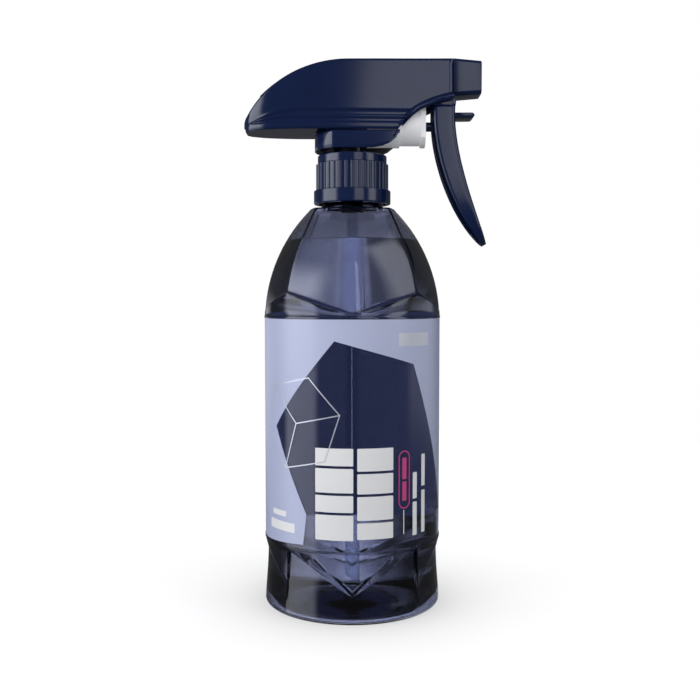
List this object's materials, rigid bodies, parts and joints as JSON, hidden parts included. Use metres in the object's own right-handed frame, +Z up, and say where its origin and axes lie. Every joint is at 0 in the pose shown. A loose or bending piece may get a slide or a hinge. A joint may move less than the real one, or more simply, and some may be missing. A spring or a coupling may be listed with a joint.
{
  "type": "trigger spray bottle",
  "caption": "Round bottle with faceted shoulder and base, wrap label and a trigger spray head with turning square nozzle; the trigger drives a small piston pump.",
  "frame": {"origin": "on the bottle's axis, in the plane of the ring that it stands on", "axes": "+Z up along the bottle, +X towards the nozzle, the label's front faces -Y"},
  "size_m": [0.0969, 0.0714, 0.2186],
  "materials": {
    "bottle_pet": "clear tinted PET, glossy",
    "label_film": "printed film, satin gloss",
    "navy_pp": "moulded polypropylene, glossy",
    "black_pp": "moulded polypropylene",
    "white_pe": "moulded polyethylene, satin",
    "tube_pe": "extruded polyethylene, translucent",
    "black_rubber": "moulded elastomer",
    "steel": "stainless wire and ball",
    "liquid": "tinted spray liquid"
  },
  "bodies": {
    "bottle": {"bottle": "bottle_pet", "label": "label_film"},
    "head": {"gasket": "white_pe", "chassis": "black_pp", "tube_retainer": "white_pe", "dip_tube": "tube_pe", "pump_cylinder": "white_pe", "cylinder_seal": "black_rubber", "return_spring": "steel", "outlet_spring": "steel", "spinner": "white_pe", "shroud": "navy_pp"},
    "collar": {"collar": "navy_pp"},
    "trigger": {"trigger": "navy_pp"},
    "piston": {"piston": "white_pe", "piston_seal": "black_rubber", "piston_rod": "navy_pp"},
    "inlet_ball": {"inlet_ball": "steel"},
    "outlet_valve": {"outlet_valve": "white_pe"},
    "nozzle": {"nozzle": "navy_pp", "nozzle_seal": "black_rubber"}
  },
  "joints": [
    {"name": "head_lift", "type": "slide", "parent": "bottle", "child": "head", "axis": [0, 0, 1], "range_m": [0, 0.0063]},
    {"name": "collar_turn", "type": "hinge", "parent": "head", "child": "collar", "pos_m": [0, 0, 0.171], "axis": [0, 0, 1], "range_deg": [0, 540]},
    {"name": "trigger_squeeze", "type": "hinge", "parent": "head", "child": "trigger", "pos_m": [0.0348, 0, 0.2045], "axis": [0, 1, 0], "range_deg": [0, 18], "stiffness_Nm_per_rad": 0.08, "springref_deg": -28.65},
    {"name": "piston_slide", "type": "slide", "parent": "head", "child": "piston", "axis": [-1, 0, 0], "range_m": [0, 0.0038], "deforming": ["return_spring"]},
    {"name": "inlet_lift", "type": "slide", "parent": "head", "child": "inlet_ball", "axis": [0, 0, 1], "range_m": [0, 0.0013]},
    {"name": "outlet_open", "type": "slide", "parent": "head", "child": "outlet_valve", "axis": [1, 0, 0], "range_m": [0, 0.0012], "stiffness_N_per_m": 150, "springref_m": -0.002, "deforming": ["outlet_spring"]},
    {"name": "nozzle_turn", "type": "hinge", "parent": "head", "child": "nozzle", "pos_m": [0.045, 0, 0.2112], "axis": [1, 0, 0], "continuous": true}
  ],
  "couplings": [
    {"joint": "collar_turn", "follows": "head_lift", "rad_per_m": 1485.4},
    {"joint": "piston_slide", "follows": "trigger_squeeze", "m_per_rad": 0.012}
  ]
}
